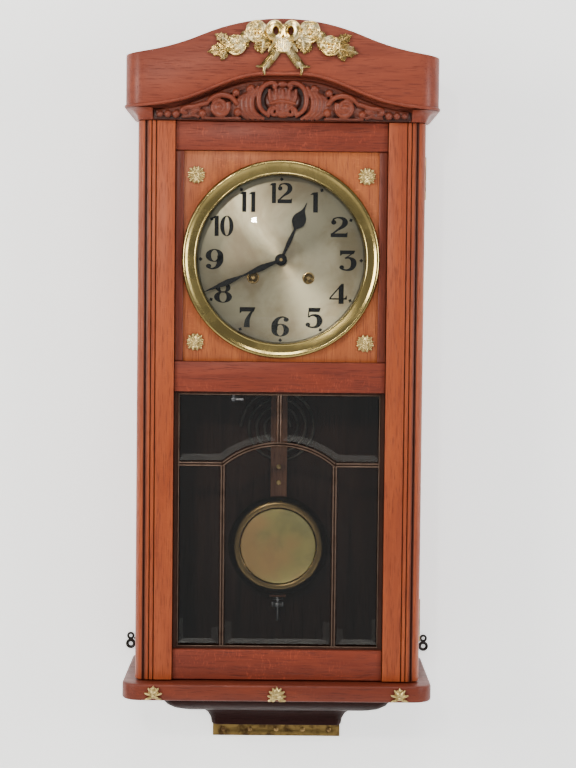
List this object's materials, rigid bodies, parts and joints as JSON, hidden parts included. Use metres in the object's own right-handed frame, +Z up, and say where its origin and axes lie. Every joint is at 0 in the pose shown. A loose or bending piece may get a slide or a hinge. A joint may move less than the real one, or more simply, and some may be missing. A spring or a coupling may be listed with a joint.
{
  "type": "pendulum wall clock",
  "caption": "Oak wall clock with a hooded carved crown, hinged glazed door, round silvered dial with hands, striking movement and swinging pendulum.",
  "frame": {"origin": "the point on the wall plane where the wall screw's shank carries the keyhole slot of the hanger plate", "axes": "+X to the clock's right as seen from the room, +Y into the wall, +Z up"},
  "size_m": [0.3666, 0.1743, 0.8395],
  "materials": {
    "oak_orange": "shellac satin",
    "oak_red": "shellac satin",
    "oak_dark": "dark stain satin",
    "brass": "aged polished",
    "gilt": "worn gilt",
    "steel": "brushed",
    "iron": "black satin",
    "silvered": "silvered, spun",
    "blued": "black lacquer",
    "clear_glass": "clear"
  },
  "bodies": {
    "case": {"back_board": "oak_dark", "hanger_plate": "brass", "side_left": "oak_red", "side_right": "oak_red", "crown_hood": "oak_red", "crown_cove": "oak_red", "crown_frieze": "oak_red", "carved_apron": "oak_red", "crown_top_board": "oak_dark", "crest_ornament": "gilt", "base_board": "oak_red", "lower_bracket": "oak_dark", "wall_strip": "brass", "base_shell_left": "gilt", "base_shell_centre": "gilt", "base_shell_right": "gilt", "steady_iron_left": "iron", "steady_iron_right": "iron", "hinge_upper_fixed": "brass", "hinge_lower_fixed": "brass", "door_catch": "brass", "back_plate": "brass", "front_plate": "brass", "movement_frame": "iron", "suspension_cock": "brass", "dial": "silvered", "gong_coil": "steel", "gong_block": "iron"},
    "door": {"stile_left": "oak_orange", "stile_right": "oak_orange", "rail_top": "oak_red", "rail_middle": "oak_red", "rail_bottom": "oak_red", "dial_panel": "oak_orange", "bezel": "brass", "dial_glass": "clear_glass", "glazing_came": "brass", "pane_upper_left": "clear_glass", "pane_upper_right": "clear_glass", "pane_left": "clear_glass", "pane_centre": "clear_glass", "pane_right": "clear_glass", "hinge_upper_moving": "brass", "hinge_lower_moving": "brass"},
    "time_barrel": {"time_barrel": "brass"},
    "centre": {"centre_wheel": "brass", "minute_hand": "blued"},
    "third_wheel": {"third_wheel": "brass"},
    "escape_wheel": {"escape_wheel": "brass"},
    "anchor": {"anchor": "steel"},
    "minute_wheel": {"minute_wheel": "brass"},
    "hour": {"hour_wheel": "brass", "hour_hand": "blued"},
    "strike_barrel": {"strike_barrel": "brass"},
    "pin_wheel": {"pin_wheel": "brass"},
    "hammer": {"hammer": "steel"},
    "pendulum": {"pendulum_rod": "oak_dark", "pendulum_bob": "brass"},
    "rating_nut": {"rating_nut": "brass"}
  },
  "joints": [
    {"name": "door_hinge", "type": "hinge", "parent": "case", "child": "door", "pos_m": [0.1613, -0.1244, -0.361], "axis": [0, 0, 1], "range_deg": [0, 110]},
    {"name": "centre_turn", "type": "hinge", "parent": "case", "child": "centre", "pos_m": [0, -0.1, -0.203], "axis": [0, 1, 0], "continuous": true},
    {"name": "barrel_turn", "type": "hinge", "parent": "case", "child": "time_barrel", "pos_m": [0.0314, -0.08, -0.2234], "axis": [0, 1, 0], "continuous": true},
    {"name": "third_turn", "type": "hinge", "parent": "case", "child": "third_wheel", "pos_m": [0, -0.08, -0.1814], "axis": [0, 1, 0], "continuous": true},
    {"name": "escape_turn", "type": "hinge", "parent": "case", "child": "escape_wheel", "pos_m": [0, -0.08, -0.16566], "axis": [0, 1, 0], "continuous": true},
    {"name": "minute_wheel_turn", "type": "hinge", "parent": "case", "child": "minute_wheel", "pos_m": [0, -0.104, -0.218], "axis": [0, 1, 0], "continuous": true},
    {"name": "hour_turn", "type": "hinge", "parent": "case", "child": "hour", "pos_m": [0, -0.11, -0.203], "axis": [0, 1, 0], "continuous": true},
    {"name": "strike_barrel_turn", "type": "hinge", "parent": "case", "child": "strike_barrel", "pos_m": [-0.0314, -0.08, -0.2234], "axis": [0, 1, 0], "continuous": true},
    {"name": "pin_wheel_turn", "type": "hinge", "parent": "case", "child": "pin_wheel", "pos_m": [-0.0314, -0.08, -0.18596], "axis": [0, 1, 0], "continuous": true},
    {"name": "hammer_swing", "type": "hinge", "parent": "case", "child": "hammer", "pos_m": [-0.054, -0.049, -0.186], "axis": [0, 1, 0], "range_deg": [0, 12], "stiffness_Nm_per_rad": 0.05, "springref_deg": -5.73},
    {"name": "pendulum_swing", "type": "hinge", "parent": "case", "child": "pendulum", "pos_m": [0, -0.034, -0.145], "axis": [0, 1, 0], "range_deg": [-4, 4]},
    {"name": "anchor_swing", "type": "hinge", "parent": "case", "child": "anchor", "pos_m": [0, -0.05, -0.145], "axis": [0, 1, 0], "range_deg": [-4, 4]},
    {"name": "rating_nut_turn", "type": "hinge", "parent": "pendulum", "child": "rating_nut", "pos_m": [0, -0.034, -0.611], "axis": [0, 0, 1], "continuous": true}
  ],
  "couplings": [
    {"joint": "barrel_turn", "follows": "centre_turn", "ratio": -0.1},
    {"joint": "third_turn", "follows": "centre_turn", "ratio": -8},
    {"joint": "escape_turn", "follows": "centre_turn", "ratio": 64},
    {"joint": "minute_wheel_turn", "follows": "centre_turn", "ratio": -0.33333},
    {"joint": "hour_turn", "follows": "centre_turn", "ratio": 0.083333},
    {"joint": "pin_wheel_turn", "follows": "strike_barrel_turn", "ratio": -10},
    {"joint": "anchor_swing", "follows": "pendulum_swing", "ratio": 1}
  ]
}
